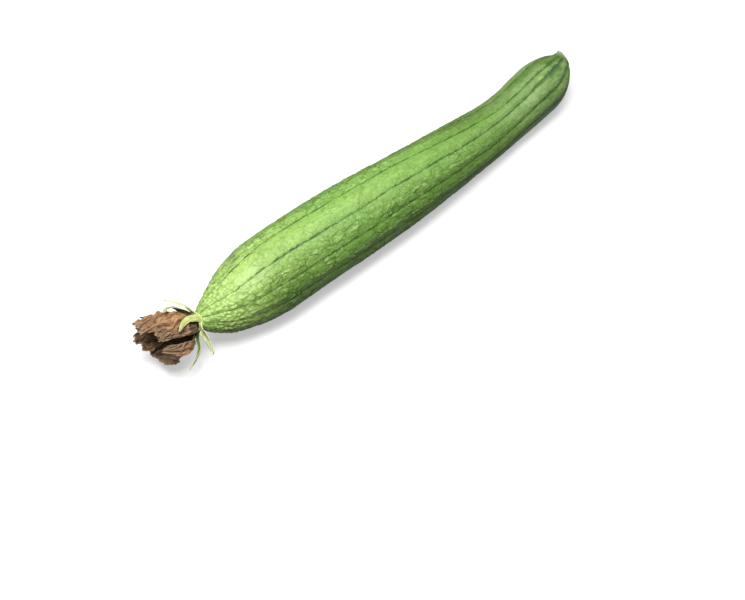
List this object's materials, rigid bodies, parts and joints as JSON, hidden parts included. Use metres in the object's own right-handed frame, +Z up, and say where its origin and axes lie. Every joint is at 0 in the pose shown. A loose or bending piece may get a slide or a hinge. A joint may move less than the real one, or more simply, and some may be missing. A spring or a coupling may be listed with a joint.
{
  "type": "sponge gourd",
  "caption": "Long smooth sponge gourd lying on its belly, thicker towards the blossom end, with a cut stem, green sepals and a dried brown flower.",
  "frame": {"origin": "bottom centre of the whole gourd's box, flower included, on the surface that it rests on", "axes": "+X along the gourd from the blossom end to the stem end, +Z up from the surface"},
  "size_m": [0.3384, 0.0492, 0.045],
  "materials": {
    "skin": "satin",
    "stem": "matte",
    "calyx": "satin",
    "petal": "matte"
  },
  "bodies": {
    "root": {"fruit": "skin", "stem_stub": "stem", "calyx_tube": "calyx", "sepal_1": "calyx", "sepal_2": "calyx", "sepal_3": "calyx", "sepal_4": "calyx", "sepal_5": "calyx", "petal_1": "petal", "petal_2": "petal", "petal_3": "petal", "petal_4": "petal", "petal_5": "petal"}
  },
  "joints": []
}
